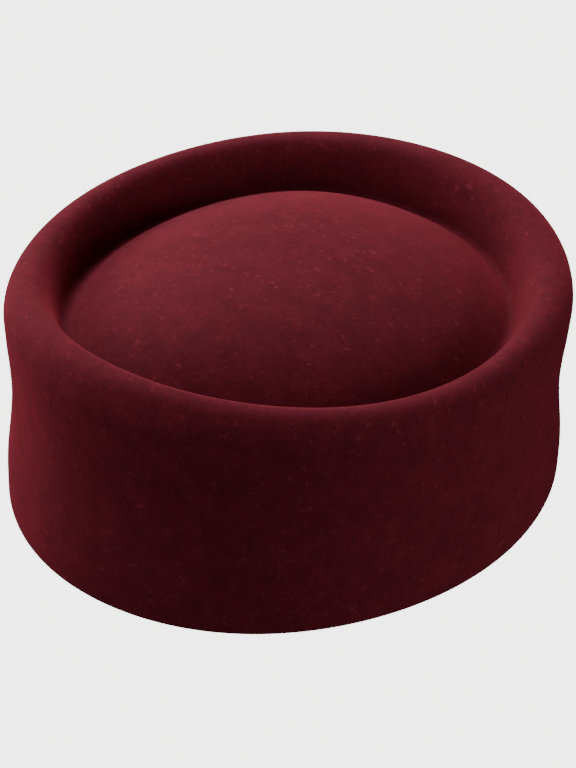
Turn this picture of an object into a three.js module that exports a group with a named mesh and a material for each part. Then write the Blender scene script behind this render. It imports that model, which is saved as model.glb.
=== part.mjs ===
// Pillbox hat of wool felt, blocked in one piece: waisted side wall, rolled rim, groove and domed crown.
// Millimetres, +Z up, front towards -Y, the hem standing on the plane z = 0.
import * as THREE from 'three';

// Outline of the hem, on the outside of the felt
const hemLength = 197;
const hemWidth = 175;
const backFullness = 0.022; // share by which the width shifts towards the back

// Height of the rim at the front, the sides and the back
const frontHeight = 81.8;
const sideHeight = 72.3;
const backHeight = 74.2;

// Felt
const feltThickness = 2.2;
const feltColor = 0x5e1722;

// Side wall: it draws in to a waist and comes out again under the rim
const waistDepth = 1.95;
const wallTable = [ // height as a share of the wall up to the shoulder, inset as a share of waistDepth
  { height: 0, inset: 0 },
  { height: 0.18, inset: 0.03 },
  { height: 0.36, inset: 0.63 },
  { height: 0.54, inset: 1 },
  { height: 0.72, inset: 0.79 },
  { height: 0.87, inset: 0.34 },
  { height: 1, inset: 0.06 },
];

// Rim: a rounded shoulder up to the crest, in a quarter of an oval, then the inner side down to the groove.
// The inner side's power makes it flat at the crest and steep at the groove.
const shoulderWidthFront = 10;
const shoulderWidthSide = 7;
const shoulderWidthBack = 7;
const shoulderHeight = 9.5;
const rimPower = 2.5;

// Groove round the crown: its height at the sides, and how far it lies in from the hem's outline
const grooveHeight = 55.2;
const grooveInsetFront = 19;
const grooveInsetSide = 18;
const grooveInsetBack = 22;
const creaseRounding = 3; // length of rounding on each side of the groove's bottom

// Crown: rise above the groove, and the power that makes it flat on top and steep at the groove
const crownRise = 25.3;
const crownPower = 2.6;

// Fineness of the facets
const stepsRound = 64;
const wallRows = 7;
const shoulderRows = 6;
const innerSideRows = 6;
const creaseRows = 3;
const crownRows = 7;

// A value that goes from the front over the sides to the back: angle 0 is +X, a quarter turn is the back
function roundTheHat(front, side, back, angle) {
  const towardsFront = -Math.sin(angle);
  const bend = (front + back) / 2 - side;
  const lean = (front - back) / 2;
  return side + bend * towardsFront ** 2 + lean * (towardsFront + towardsFront ** 3) / 2;
}

// Height at the sides, and insets from the hem's outline
const shoulderFoot = sideHeight - shoulderHeight;
const shoulderInset = wallTable[wallTable.length - 1].inset * waistDepth;

// Point of the hem's outline and the direction straight out from it
function hemAt(angle) {
  const halfWidth = hemWidth / 2;
  const halfLength = hemLength / 2;
  const fullness = 1 + backFullness * Math.sin(angle);
  const point = new THREE.Vector2(halfWidth * Math.cos(angle) * fullness, halfLength * Math.sin(angle));
  const across = -Math.sin(angle) * fullness + backFullness * Math.cos(angle) ** 2;
  const outward = new THREE.Vector2(halfLength * Math.cos(angle), -halfWidth * across).normalize();
  return { point, outward };
}

// Outside of the felt at one angle, from the crown's centre to the hem.
// x is the distance from the centre, y the height.
function outsideSection(grooveReach, grooveInset, shoulderWidth, lift) {
  const place = (inset, height) => new THREE.Vector2(grooveReach + grooveInset - inset, height * lift);

  const crownAt = (share) => {
    const height = grooveHeight + crownRise * (1 - share ** crownPower);
    return new THREE.Vector2(grooveReach * share, height * (1 + (lift - 1) * share ** 2));
  };
  const crestInset = shoulderInset + shoulderWidth;
  const rimDrop = sideHeight - grooveHeight;
  const innerWidth = grooveInset - crestInset;
  const innerSideAt = (share) => place(crestInset + innerWidth * share, sideHeight - rimDrop * share ** rimPower);

  const crownEdge = 1 - creaseRounding / grooveReach;
  const innerEdge = 1 - creaseRounding / Math.hypot(innerWidth, rimDrop * rimPower);
  const crease = new THREE.QuadraticBezierCurve(
    crownAt(crownEdge), place(grooveInset, grooveHeight), innerSideAt(innerEdge));
  const wall = new THREE.SplineCurve(
    wallTable.map((row) => place(row.inset * waistDepth, row.height * shoulderFoot)));

  const rows = [];
  for (let row = 0; row < crownRows; row += 1) {
    rows.push(crownAt(crownEdge * row / crownRows));
  }
  rows.push(...crease.getPoints(creaseRows));
  for (let row = innerSideRows - 1; row > 0; row -= 1) {
    rows.push(innerSideAt(innerEdge * row / innerSideRows));
  }
  for (let row = 0; row < shoulderRows; row += 1) {
    const turn = Math.PI / 2 * (1 - row / shoulderRows);
    const inset = crestInset - shoulderWidth * Math.cos(turn);
    rows.push(place(inset, shoulderFoot + shoulderHeight * Math.sin(turn)));
  }
  rows.push(...wall.getPoints(wallRows).reverse());
  return rows;
}

// The same rows moved in by the felt's thickness, square to the section.
// The section is mirrored past its ends, so the crown's centre moves straight down and the hem straight in.
function insideSection(outside) {
  return outside.map((point, row) => {
    const before = outside[row - 1] ?? new THREE.Vector2(-outside[1].x, outside[1].y);
    const after = outside[row + 1] ?? new THREE.Vector2(before.x, -before.y);
    const along = new THREE.Vector2().subVectors(after, before).normalize();
    return new THREE.Vector2(point.x + along.y * feltThickness, point.y - along.x * feltThickness);
  });
}

// The whole section at one angle as points in space
function feltSection(angle) {
  const hem = hemAt(angle);
  const grooveInset = roundTheHat(grooveInsetFront, grooveInsetSide, grooveInsetBack, angle);
  const shoulderWidth = roundTheHat(shoulderWidthFront, shoulderWidthSide, shoulderWidthBack, angle);
  const lift = roundTheHat(frontHeight, sideHeight, backHeight, angle) / sideHeight;
  const groove = hem.point.clone().addScaledVector(hem.outward, -grooveInset);
  const grooveReach = groove.length();
  const outside = outsideSection(grooveReach, grooveInset, shoulderWidth, lift);
  const section = [...insideSection(outside), ...outside.reverse()];
  return section.map((point) => {
    const past = Math.max(point.x - grooveReach, 0);
    const plan = groove.clone().multiplyScalar(Math.min(point.x / grooveReach, 1));
    plan.addScaledVector(hem.outward, past);
    return new THREE.Vector3(plan.x, plan.y, point.y);
  });
}

// A lathe turns the section at the side, and each copy then takes the section of its own angle
function blockedFelt() {
  const profile = feltSection(0).map((point) => new THREE.Vector2(point.x, point.z));
  const geometry = new THREE.LatheGeometry(profile, stepsRound);
  const position = geometry.attributes.position;
  for (let step = 0; step <= stepsRound; step += 1) {
    const angle = 2 * Math.PI * (step % stepsRound) / stepsRound;
    feltSection(angle).forEach((point, row) => {
      position.setXYZ(step * profile.length + row, point.x, point.y, point.z);
    });
  }
  geometry.computeVertexNormals();
  return geometry;
}

const felt = new THREE.MeshStandardMaterial({ color: feltColor, roughness: 0.95, metalness: 0 });
const feltBody = new THREE.Mesh(blockedFelt(), felt);
feltBody.name = 'felt_body';

const hat = new THREE.Group();
hat.add(feltBody);

export default hat;
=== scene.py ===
"""Looks of a one-piece wool felt pillbox hat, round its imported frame.

Laid out as an add-on and run as a script. Lengths are in metres, +Z is up and the front faces -Y.
"""
import math

import bpy
import numpy as np
from mathutils import Matrix, Vector


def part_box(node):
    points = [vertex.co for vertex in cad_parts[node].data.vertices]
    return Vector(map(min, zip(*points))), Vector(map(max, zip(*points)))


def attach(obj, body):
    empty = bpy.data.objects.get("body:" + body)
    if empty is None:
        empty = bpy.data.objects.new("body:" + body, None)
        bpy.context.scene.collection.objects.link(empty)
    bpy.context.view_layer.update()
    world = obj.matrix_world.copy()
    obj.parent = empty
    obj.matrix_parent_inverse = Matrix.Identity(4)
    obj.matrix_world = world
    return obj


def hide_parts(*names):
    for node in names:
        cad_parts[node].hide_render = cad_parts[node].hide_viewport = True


bl_info = {
    "name": "Blocked Felt Hat",
    "version": (1, 0, 0),
    "blender": (4, 5, 0),
    "location": "3D View > Sidebar > Felt Hat",
    "description": "Builds a blocked wool felt hat and its studio from named sizes",
    "category": "Object",
}

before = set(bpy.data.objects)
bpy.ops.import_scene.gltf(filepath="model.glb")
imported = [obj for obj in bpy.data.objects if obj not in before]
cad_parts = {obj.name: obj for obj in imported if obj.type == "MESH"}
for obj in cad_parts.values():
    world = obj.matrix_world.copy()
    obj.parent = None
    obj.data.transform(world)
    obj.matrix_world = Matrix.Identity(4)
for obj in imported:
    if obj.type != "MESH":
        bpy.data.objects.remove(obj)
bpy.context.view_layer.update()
HAT_LOW, HAT_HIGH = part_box("felt_body")

MM = 0.001

# Fineness of the felt's mesh: steps round the hat, and rows of each part of the section
FELT_STEPS = 288
FELT_ROWS = {"crown": 50, "crease": 10, "inner_side": 28, "shoulder": 24, "wall": 50, "hem": 4}

# Side wall: height as a share of the wall up to the rim's shoulder, inset as a share of the waist's depth
WALL_TABLE = [
    {"height": 0.0, "inset": 0.0},
    {"height": 0.18, "inset": 0.03},
    {"height": 0.36, "inset": 0.63},
    {"height": 0.54, "inset": 1.0},
    {"height": 0.72, "inset": 0.79},
    {"height": 0.87, "inset": 0.34},
    {"height": 1.0, "inset": 0.06},
]

# Waves that hand blocking leaves: turns round the hat, radians per metre of height, start in radians
BLOCKING_WAVES = [
    (2, 31, 0.4),
    (3, -24, 1.9),
    (5, 43, 0.8),
    (7, -57, 2.6),
    (4, 76, 4.4),
]

# Patterns of the felt. Bundles of fibres are about 0.2 mm wide; drawn about 0.7 mm wide so that they show.
PATCH_SIZE = 8 * MM
BUNDLE_SIZE = 1.4 * MM
TUFT_SIZE = 2.6 * MM
NAP_SIZE = 0.9 * MM
NAP_DEPTH = 0.08 * MM

# The camera that the photo was taken with, in degrees, metres and pixels of the frame
FRAME_WIDTH_PX = 576
FRAME_HEIGHT_PX = 768
SENSOR_MM = 36.0  # the sensor's longer side, here its height
CAMERA = {
    "azimuth": 35.3,
    "elevation": 34.15,
    "roll": 1.81,
    "distance": 0.896,
    "aim_height": 0.038,
    "focal_px": 2739.2,
    "aim_x_px": 287.2,
    "aim_y_px": 360.6,
}

# Soft boxes round the hat, all at one distance: power in watts, angles in degrees, size in metres
LIGHT_DISTANCE = 1.3
SOFT_BOXES = {
    "key_back": {"power": 15.4, "azimuth": 225, "elevation": 35, "size": 0.6},
    "key_side": {"power": 8.8, "azimuth": 270, "elevation": 12, "size": 0.6},
    "top_left": {"power": 6.6, "azimuth": 282, "elevation": 58, "size": 0.6},
    "edge_left": {"power": 4.1, "azimuth": 315, "elevation": 10, "size": 0.6},
    "edge_right": {"power": 7.4, "azimuth": 118, "elevation": 10, "size": 0.6},
    "fill_front": {"power": 3.6, "azimuth": 25, "elevation": 10, "size": 0.7},
}

# Studio paper: a flat round floor, a quarter turn up at its edge and a wall above, lengths in metres
PAPER_REACH = 2.4
PAPER_SWEEP = 1.2
PAPER_TOP = 2.6
PAPER_STEPS = 96
PAPER_SWEEP_ROWS = 12
PAPER_REFLECTED = 0.5  # share of its colour that it shows by the soft boxes' light
PAPER_GLOW = 4.5  # strength of the light that comes through it


def linear(hex_colour):
    """Turns an sRGB hex value into linear red, green and blue."""
    parts = [int(hex_colour[i : i + 2], 16) / 255 for i in (1, 3, 5)]
    return tuple(c / 12.92 if c <= 0.04045 else ((c + 0.055) / 1.055) ** 2.4 for c in parts)


class FeltSizes(bpy.types.PropertyGroup):
    """Sizes of the blocked felt"""

    hem_length: bpy.props.FloatProperty(
        name="Hem length", description="Outside, front to back",
        default=HAT_HIGH.y - HAT_LOW.y, unit="LENGTH")
    hem_width: bpy.props.FloatProperty(
        name="Hem width", description="Outside, side to side",
        default=HAT_HIGH.x - HAT_LOW.x, unit="LENGTH")
    back_fullness: bpy.props.FloatProperty(
        name="Back fullness", description="Share by which the width shifts towards the back",
        default=0.022, subtype="FACTOR")
    front_height: bpy.props.FloatProperty(
        name="Front height", description="Rim's height at the front", default=HAT_HIGH.z, unit="LENGTH")
    side_height: bpy.props.FloatProperty(
        name="Side height", description="Rim's height at the sides", default=72.3 * MM, unit="LENGTH")
    back_height: bpy.props.FloatProperty(
        name="Back height", description="Rim's height at the back", default=74.2 * MM, unit="LENGTH")
    felt_thickness: bpy.props.FloatProperty(
        name="Felt thickness", description="Thickness of the felt", default=2.2 * MM, unit="LENGTH")
    hem_rounding: bpy.props.FloatProperty(
        name="Hem rounding", description="Softness of the cut edge's corners", default=0.5 * MM,
        unit="LENGTH")
    waist_depth: bpy.props.FloatProperty(
        name="Waist depth", description="How far the wall draws in", default=1.95 * MM, unit="LENGTH")
    shoulder_width_front: bpy.props.FloatProperty(
        name="Shoulder width, front", description="From the outer wall in to the rim's crest, at the front",
        default=10 * MM, unit="LENGTH")
    shoulder_width_side: bpy.props.FloatProperty(
        name="Shoulder width, sides", description="From the outer wall in to the rim's crest, at the sides",
        default=7 * MM, unit="LENGTH")
    shoulder_width_back: bpy.props.FloatProperty(
        name="Shoulder width, back", description="From the outer wall in to the rim's crest, at the back",
        default=7 * MM, unit="LENGTH")
    shoulder_height: bpy.props.FloatProperty(
        name="Shoulder height", description="From the outer wall's top up to the rim's crest",
        default=9.5 * MM, unit="LENGTH")
    rim_power: bpy.props.FloatProperty(
        name="Rim power", description="Higher is flatter at the crest and steeper at the groove",
        default=2.5)
    groove_height: bpy.props.FloatProperty(
        name="Groove height", description="Height of the groove at the sides", default=55.2 * MM,
        unit="LENGTH")
    groove_inset_front: bpy.props.FloatProperty(
        name="Groove inset, front", description="From the hem's outline in to the groove at the front",
        default=19 * MM, unit="LENGTH")
    groove_inset_side: bpy.props.FloatProperty(
        name="Groove inset, sides", description="From the hem's outline in to the groove at the sides",
        default=18 * MM, unit="LENGTH")
    groove_inset_back: bpy.props.FloatProperty(
        name="Groove inset, back", description="From the hem's outline in to the groove at the back",
        default=22 * MM, unit="LENGTH")
    crease_rounding: bpy.props.FloatProperty(
        name="Crease rounding", description="Rounding on each side of the groove's bottom",
        default=3 * MM, unit="LENGTH")
    crown_rise: bpy.props.FloatProperty(
        name="Crown rise", description="Height of the crown above the groove", default=25.3 * MM,
        unit="LENGTH")
    crown_power: bpy.props.FloatProperty(
        name="Crown power", description="Higher is flatter on top and steeper at the groove", default=2.6)
    hand_blocking: bpy.props.FloatProperty(
        name="Hand blocking", description="How far the felt strays from its block", default=0.35 * MM,
        unit="LENGTH")


class FeltFinish(bpy.types.PropertyGroup):
    """Colours of the dyed felt"""

    dye: bpy.props.FloatVectorProperty(
        name="Dye", description="Main colour of the felt", subtype="COLOR", size=3,
        default=linear("#5f1a26"))
    dye_dark: bpy.props.FloatVectorProperty(
        name="Dark fibres", description="Colour between the fibres", subtype="COLOR", size=3,
        default=linear("#541722"))
    dye_light: bpy.props.FloatVectorProperty(
        name="Light fibres", description="Colour of the fibres' tips", subtype="COLOR", size=3,
        default=linear("#6a1e2b"))
    fleck: bpy.props.FloatVectorProperty(
        name="Flecks", description="Colour of the loose tufts on the nap", subtype="COLOR", size=3,
        default=linear("#7e2c3c"))
    nap: bpy.props.FloatVectorProperty(
        name="Nap", description="Colour of the nap seen edge on", subtype="COLOR", size=3,
        default=linear("#b83446"))


class StudioSettings(bpy.types.PropertyGroup):
    """Light and floor of the studio"""

    brightness: bpy.props.FloatProperty(
        name="Brightness", description="Share of all the soft boxes' power", default=1.0, min=0.0)
    ambient: bpy.props.FloatProperty(
        name="Ambient", description="Light from all round", default=0.02, min=0.0)
    floor: bpy.props.FloatVectorProperty(
        name="Floor", description="Colour of the floor", subtype="COLOR", size=3,
        default=linear("#fbfaf9"))


# Shape of the felt

def round_the_hat(front, side, back, angle):
    """A value that goes from the front over the sides to the back."""
    towards_front = -np.sin(angle)
    bend = (front + back) / 2 - side
    lean = (front - back) / 2
    return side + bend * towards_front**2 + lean * (towards_front + towards_front**3) / 2


def spline(points, steps):
    """A smooth curve through the points, with the same number of steps between each two."""
    points = np.array(points)
    count = len(points)
    along = np.linspace(0, count - 1, steps + 1)
    first = np.minimum(along.astype(int), count - 2)
    t = (along - first)[:, None]
    p0, p1 = points[np.maximum(first - 1, 0)], points[first]
    p2, p3 = points[first + 1], points[np.minimum(first + 2, count - 1)]
    v0, v1 = (p2 - p0) / 2, (p3 - p1) / 2
    return (2 * p1 - 2 * p2 + v0 + v1) * t**3 + (-3 * p1 + 3 * p2 - 2 * v0 - v1) * t**2 + v0 * t + p1


def hem_at(sizes, angle):
    """Points of the hem's outline and the directions straight out from them."""
    half_width, half_length = sizes.hem_width / 2, sizes.hem_length / 2
    fullness = 1 + sizes.back_fullness * np.sin(angle)
    points = np.stack([half_width * np.cos(angle) * fullness, half_length * np.sin(angle)], -1)
    across = -np.sin(angle) * fullness + sizes.back_fullness * np.cos(angle) ** 2
    outward = np.stack([half_length * np.cos(angle), -half_width * across], -1)
    return points, outward / np.linalg.norm(outward, axis=-1, keepdims=True)


def outside_section(sizes, reach, groove_inset, shoulder_width, lift):
    """Outside of the felt at each angle, from the crown's centre to the hem, as distance and height."""
    rows = FELT_ROWS
    shoulder_foot = sizes.side_height - sizes.shoulder_height
    shoulder_inset = WALL_TABLE[-1]["inset"] * sizes.waist_depth
    crest_inset = shoulder_inset + shoulder_width
    inner_width = groove_inset - crest_inset
    rim_drop = sizes.side_height - sizes.groove_height

    def place(inset, height):
        return np.stack([reach + groove_inset - inset, height * lift], -1)

    def crown_at(share):
        height = sizes.groove_height + sizes.crown_rise * (1 - share**sizes.crown_power)
        return np.stack([reach * share, height * (1 + (lift - 1) * share**2)], -1)

    def inner_side_at(share):
        inset = crest_inset + inner_width * share
        return place(inset, sizes.side_height - rim_drop * share**sizes.rim_power)

    crown_edge = 1 - sizes.crease_rounding / reach
    inner_edge = 1 - sizes.crease_rounding / np.hypot(inner_width, rim_drop * sizes.rim_power)
    section = [crown_at(crown_edge * share) for share in np.arange(rows["crown"]) / rows["crown"]]
    start = crown_at(crown_edge)
    bend = place(groove_inset, np.full_like(reach, sizes.groove_height))
    end = inner_side_at(inner_edge)
    for t in np.linspace(0, 1, rows["crease"] + 1):
        section.append(start * (1 - t) ** 2 + bend * 2 * t * (1 - t) + end * t**2)
    for share in np.arange(1, rows["inner_side"])[::-1] / rows["inner_side"]:
        section.append(inner_side_at(inner_edge * share))
    for turn in math.pi / 2 * (1 - np.arange(rows["shoulder"]) / rows["shoulder"]):
        inset = crest_inset - shoulder_width * math.cos(turn)
        section.append(place(inset, shoulder_foot + sizes.shoulder_height * math.sin(turn)))
    wall = spline([(row["inset"], row["height"]) for row in WALL_TABLE], rows["wall"])[::-1]
    wall = wall[wall[:, 1] * shoulder_foot > sizes.hem_rounding]
    section += [place(inset * sizes.waist_depth, height * shoulder_foot) for inset, height in wall]
    return np.array(section)


def inside_section(outside, thickness):
    """The same rows moved in by the felt's thickness, square to the section."""
    # Past its ends the section is level at the crown's centre and goes straight down at the hem
    past_centre = outside[1] * (-1, 1)
    past_hem = outside[-1] - (0, 1)
    padded = np.concatenate([past_centre[None], outside, past_hem[None]])
    along = padded[2:] - padded[:-2]
    along /= np.linalg.norm(along, axis=-1, keepdims=True)
    return outside + np.stack([along[..., 1], -along[..., 0]], -1) * thickness


def softened_corner(face, inwards, corner):
    """Rows from a face of the wall round its lower corner to the floor; face is its distance."""
    rows = []
    for turn in np.linspace(0, math.pi / 2, FELT_ROWS["hem"]):
        distance = face + inwards * corner * (1 - math.cos(turn))
        height = np.full_like(distance, corner * (1 - math.sin(turn)))
        rows.append(np.stack([distance, height], -1))
    return rows


def hem_edge(sizes, outside, inside):
    """The cut edge between the last rows, with softened corners, standing on the floor."""
    outer = softened_corner(outside[-1][:, 0], -1, sizes.hem_rounding)
    inner = softened_corner(inside[-1][:, 0], 1, sizes.hem_rounding)
    return np.array([*outer, *reversed(inner)])


def blocking_waves(angle, height):
    """Slow, shallow waves that hand blocking leaves, between -1 and 1, the same at each run."""
    waves = [np.sin(turns * angle + climb * height + start) for turns, climb, start in BLOCKING_WAVES]
    return sum(waves) / len(waves)


def felt_points(sizes, angle):
    """All rows of the felt as points in space, from the crown's centre inside round to outside."""
    hem, outward = hem_at(sizes, angle)
    groove_inset = round_the_hat(
        sizes.groove_inset_front, sizes.groove_inset_side, sizes.groove_inset_back, angle)
    shoulder_width = round_the_hat(
        sizes.shoulder_width_front, sizes.shoulder_width_side, sizes.shoulder_width_back, angle)
    lift = round_the_hat(sizes.front_height, sizes.side_height, sizes.back_height, angle)
    lift = lift / sizes.side_height
    groove = hem - outward * groove_inset[:, None]
    reach = np.linalg.norm(groove, axis=-1)
    outside = outside_section(sizes, reach, groove_inset, shoulder_width, lift)
    inside = inside_section(outside, sizes.felt_thickness)
    edge = hem_edge(sizes, outside, inside)
    section = np.concatenate([inside, edge[::-1], outside[::-1]])
    past = np.maximum(section[..., 0] - reach, 0)
    stray = blocking_waves(angle, section[..., 1]) * sizes.hand_blocking
    share = np.clip(section[..., 0] / reach, 0, 1)
    plan = groove * share[..., None] + outward * (past + stray * share**2)[..., None]
    height = section[..., 1] + stray * (1 - share**2) * share
    return np.concatenate([plan, height[..., None]], -1)


def felt_mesh(sizes):
    """A closed mesh of the felt, both sides and the hem."""
    steps = FELT_STEPS
    angle = np.arange(steps) / steps * 2 * math.pi
    points = felt_points(sizes, angle)
    count = len(points)
    inner_centre, outer_centre = points[0].mean(0), points[-1].mean(0)
    vertices = np.concatenate([points[1:-1].reshape(-1, 3), [inner_centre, outer_centre]])
    faces = []
    for row in range(count - 3):
        for step in range(steps):
            after = (step + 1) % steps
            faces.append((row * steps + step, (row + 1) * steps + step,
                          (row + 1) * steps + after, row * steps + after))
    last = (count - 3) * steps
    inner, outer = len(vertices) - 2, len(vertices) - 1
    for step in range(steps):
        after = (step + 1) % steps
        faces.append((inner, step, after))
        faces.append((outer, last + after, last + step))
    mesh = bpy.data.meshes.new("felt_body")
    mesh.from_pydata(vertices.tolist(), [], faces)
    mesh.polygons.foreach_set("use_smooth", [True] * len(mesh.polygons))
    mesh.validate()
    mesh.update()
    return mesh


# Finishes

def add_node(tree, kind, settings=None, links=None):
    """Adds a node, sets its properties and inputs, and links its inputs to other sockets."""
    node = tree.nodes.new(kind)
    for name, value in (settings or {}).items():
        if name in node.inputs:
            node.inputs[name].default_value = value
        else:
            setattr(node, name, value)
    for name, socket in (links or {}).items():
        tree.links.new(socket, node.inputs[name])
    return node


def felt_noise(tree, size, detail, roughness):
    """Noise in the felt, of a real size in metres."""
    place = add_node(tree, "ShaderNodeTexCoord")
    return add_node(tree, "ShaderNodeTexNoise",
                    {"Scale": 1 / size, "Detail": detail, "Roughness": roughness},
                    {"Vector": place.outputs["Object"]})


def brushed_wool_felt(finish):
    """Wool felt, dyed burgundy, blocked and brushed: matt, finely mottled, with a soft glow edge on."""
    material = bpy.data.materials.new("brushed_wool_felt")
    material.use_nodes = True
    tree = material.node_tree
    tree.nodes.clear()

    # The dye takes unevenly over patches of 2 to 8 mm and over bundles of fibres: a soft, weak mottle
    patches = felt_noise(tree, PATCH_SIZE, 3.0, 0.6)
    bundles = felt_noise(tree, BUNDLE_SIZE, 4.0, 0.7)
    blend = add_node(tree, "ShaderNodeMix", {"data_type": "FLOAT", "Factor": 0.55},
                     {"A": patches.outputs["Fac"], "B": bundles.outputs["Fac"]})
    # Loose tufts of paler fibres, 1 to 2 mm long, lie here and there on the nap
    loose = felt_noise(tree, TUFT_SIZE, 2.0, 0.6)
    sparse = add_node(tree, "ShaderNodeMapRange", {"From Min": 0.61, "From Max": 0.85, "To Max": 0.6},
                      {"Value": loose.outputs["Fac"]})
    flecked = add_node(tree, "ShaderNodeMath", {"operation": "ADD"})
    tree.links.new(blend.outputs["Result"], flecked.inputs[0])
    tree.links.new(sparse.outputs["Result"], flecked.inputs[1])
    colour = add_node(tree, "ShaderNodeValToRGB", None, {"Fac": flecked.outputs["Value"]})
    ramp = colour.color_ramp
    ramp.elements[0].position = 0.36
    ramp.elements[0].color = (*finish.dye_dark, 1)
    ramp.elements[1].position = 1.0
    ramp.elements[1].color = (*finish.fleck, 1)
    for position, dye in ((0.5, finish.dye), (0.64, finish.dye_light)):
        ramp.elements.new(position).color = (*dye, 1)

    # The nap stands up unevenly by less than 0.1 mm
    tufts = felt_noise(tree, NAP_SIZE, 4.0, 0.7)
    nap = add_node(tree, "ShaderNodeBump", {"Strength": 0.4, "Distance": NAP_DEPTH},
                   {"Height": tufts.outputs["Fac"]})
    shader = add_node(
        tree, "ShaderNodeBsdfPrincipled",
        {"Roughness": 0.92, "IOR": 1.5, "Specular IOR Level": 0.08, "Sheen Weight": 0.5,
         "Sheen Roughness": 0.45, "Sheen Tint": (*finish.nap, 1)},
        {"Base Color": colour.outputs["Color"], "Normal": nap.outputs["Normal"]})
    add_node(tree, "ShaderNodeOutputMaterial", None, {"Surface": shader.outputs["BSDF"]})
    return material


def matt_paper(colour):
    """Seamless studio paper, lit through from below: plain, pale and matt."""
    material = bpy.data.materials.new("matt_studio_paper")
    material.use_nodes = True
    shader = material.node_tree.nodes["Principled BSDF"]
    shader.inputs["Base Color"].default_value = (*(PAPER_REFLECTED * c for c in colour), 1)
    shader.inputs["Roughness"].default_value = 0.95
    shader.inputs["Specular IOR Level"].default_value = 0.1
    shader.inputs["Emission Color"].default_value = (*colour, 1)
    shader.inputs["Emission Strength"].default_value = PAPER_GLOW
    return material


# Studio

def swept_paper():
    """A round floor that sweeps up to a wall, far outside the soft boxes."""
    steps = PAPER_STEPS
    profile = [(PAPER_REACH, 0.0)]
    for turn in np.linspace(0, math.pi / 2, PAPER_SWEEP_ROWS + 1)[1:]:
        profile.append((PAPER_REACH + PAPER_SWEEP * math.sin(turn), PAPER_SWEEP * (1 - math.cos(turn))))
    profile.append((PAPER_REACH + PAPER_SWEEP, PAPER_TOP))
    vertices = []
    faces = [tuple(range(steps))]
    for distance, height in profile:
        for step in range(steps):
            angle = 2 * math.pi * step / steps
            vertices.append((distance * math.cos(angle), distance * math.sin(angle), height))
    for row in range(len(profile) - 1):
        for step in range(steps):
            after = (step + 1) % steps
            faces.append((row * steps + step, row * steps + after,
                          (row + 1) * steps + after, (row + 1) * steps + step))
    mesh = bpy.data.meshes.new("floor")
    mesh.from_pydata(vertices, [], faces)
    mesh.polygons.foreach_set("use_smooth", [True] * len(mesh.polygons))
    mesh.update()
    return mesh


def away_at(azimuth, elevation):
    """Direction away from the hat, by degrees from the front towards +X and degrees upwards."""
    turn = math.radians(azimuth)
    climb = math.radians(elevation)
    return Vector((math.sin(turn) * math.cos(climb), -math.cos(turn) * math.cos(climb), math.sin(climb)))


def soft_light(name, power, azimuth, elevation, size):
    """Adds a square soft box that faces the hat, placed by its angles round the hat."""
    light = bpy.data.lights.new(name, "AREA")
    light.energy = power
    light.shape = "SQUARE"
    light.size = size
    lamp = bpy.data.objects.new(name, light)
    away = away_at(azimuth, elevation)
    lamp.location = away * LIGHT_DISTANCE + Vector((0, 0, CAMERA["aim_height"]))
    lamp.rotation_euler = away.to_track_quat("Z", "Y").to_euler()
    bpy.context.scene.collection.objects.link(lamp)


def photo_camera():
    """Adds a camera that sees the hat as the photo does."""
    azimuth = math.radians(CAMERA["azimuth"])
    roll = math.radians(CAMERA["roll"])
    back = away_at(CAMERA["azimuth"], CAMERA["elevation"])
    level = Vector((math.cos(azimuth), math.sin(azimuth), 0))
    upright = back.cross(level)
    right = level * math.cos(roll) + upright * math.sin(roll)
    up = upright * math.cos(roll) - level * math.sin(roll)
    aim = Vector((0, 0, CAMERA["aim_height"]))
    location = aim + back * CAMERA["distance"]
    pixel = CAMERA["distance"] / CAMERA["focal_px"]
    aim -= right * (CAMERA["aim_x_px"] - FRAME_WIDTH_PX / 2) * pixel
    aim += up * (CAMERA["aim_y_px"] - FRAME_HEIGHT_PX / 2) * pixel
    view = (aim - location).normalized()
    right = (right - view * right.dot(view)).normalized()
    up = right.cross(view)
    camera = bpy.data.objects.new("photo_camera", bpy.data.cameras.new("photo_camera"))
    camera.data.sensor_width = SENSOR_MM
    camera.data.lens = CAMERA["focal_px"] * SENSOR_MM / FRAME_HEIGHT_PX
    turned = Matrix((right, up, -view)).transposed().to_4x4()
    camera.matrix_world = Matrix.Translation(location) @ turned
    bpy.context.scene.collection.objects.link(camera)
    bpy.context.scene.camera = camera


# Operators

def add_piece(name, mesh, material):
    """Links a mesh to the scene as a piece with one material."""
    piece = bpy.data.objects.new(name, mesh)
    bpy.context.scene.collection.objects.link(piece)
    mesh.materials.append(material)
    return piece


class HAT_OT_block_felt(bpy.types.Operator):
    """Blocks the hat from one piece of felt: wall, rounded rim, groove, crown and hem"""

    bl_idname = "hat.block_felt"
    bl_label = "Block the felt"

    def execute(self, context):
        scene = context.scene
        felt = add_piece("felt_body_blocked", felt_mesh(scene.felt_sizes),
                         brushed_wool_felt(scene.felt_finish))
        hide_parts("felt_body")
        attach(felt, "root")
        return {"FINISHED"}


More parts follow.
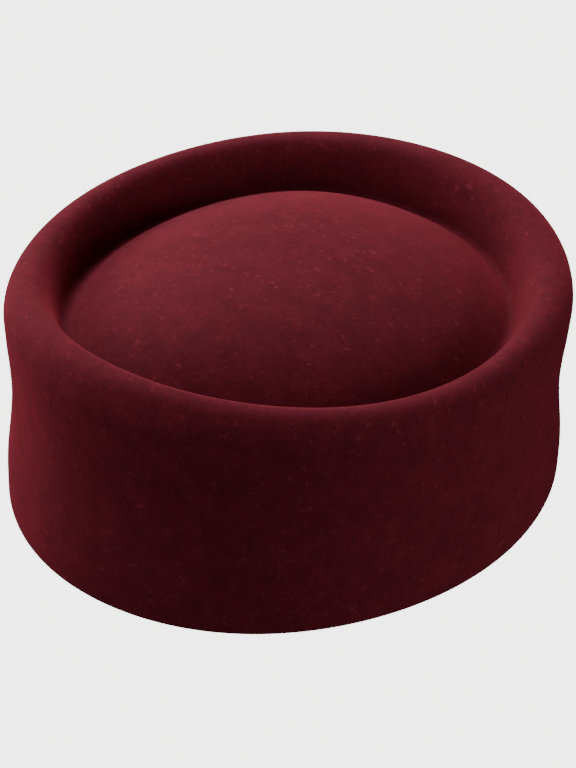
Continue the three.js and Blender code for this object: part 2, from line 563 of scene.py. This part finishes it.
class HAT_OT_set_stage(bpy.types.Operator):
    """Sets the floor, the soft lights and the camera"""

    bl_idname = "hat.set_stage"
    bl_label = "Set the stage"

    def execute(self, context):
        scene = context.scene
        studio = scene.hat_studio
        floor = add_piece("floor", swept_paper(), matt_paper(studio.floor))
        floor.visible_diffuse = False
        floor.visible_glossy = False

        for name, light in SOFT_BOXES.items():
            soft_light(name, light["power"] * studio.brightness, light["azimuth"], light["elevation"],
                       light["size"])
        world = bpy.data.worlds.new("studio")
        world.use_nodes = True
        sky = world.node_tree.nodes["Background"]
        sky.inputs["Color"].default_value = (1, 1, 1, 1)
        sky.inputs["Strength"].default_value = studio.ambient
        scene.world = world
        photo_camera()
        return {"FINISHED"}


# Panel and registration

class HAT_PT_sidebar(bpy.types.Panel):
    """Lists the hat's operators and sizes"""

    bl_idname = "HAT_PT_sidebar"
    bl_label = "Felt Hat"
    bl_space_type = "VIEW_3D"
    bl_region_type = "UI"
    bl_category = "Felt Hat"

    def draw(self, context):
        layout = self.layout
        for operator in OPERATORS:
            layout.operator(operator.bl_idname)
        for group in (context.scene.felt_sizes, context.scene.felt_finish, context.scene.hat_studio):
            box = layout.box()
            for name in group.bl_rna.properties.keys():
                if name not in ("rna_type", "name"):
                    box.prop(group, name)


GROUPS = {"felt_sizes": FeltSizes, "felt_finish": FeltFinish, "hat_studio": StudioSettings}
OPERATORS = (HAT_OT_block_felt, HAT_OT_set_stage)


def register():
    for name, group in GROUPS.items():
        bpy.utils.register_class(group)
        setattr(bpy.types.Scene, name, bpy.props.PointerProperty(type=group))
    for item in (*OPERATORS, HAT_PT_sidebar):
        bpy.utils.register_class(item)


def unregister():
    for item in (HAT_PT_sidebar, *reversed(OPERATORS)):
        bpy.utils.unregister_class(item)
    for name, group in GROUPS.items():
        delattr(bpy.types.Scene, name)
        bpy.utils.unregister_class(group)


def main():
    """Builds the hat and its stage."""
    register()
    bpy.ops.hat.block_felt()
    bpy.ops.hat.set_stage()


if __name__ == "__main__":
    main()
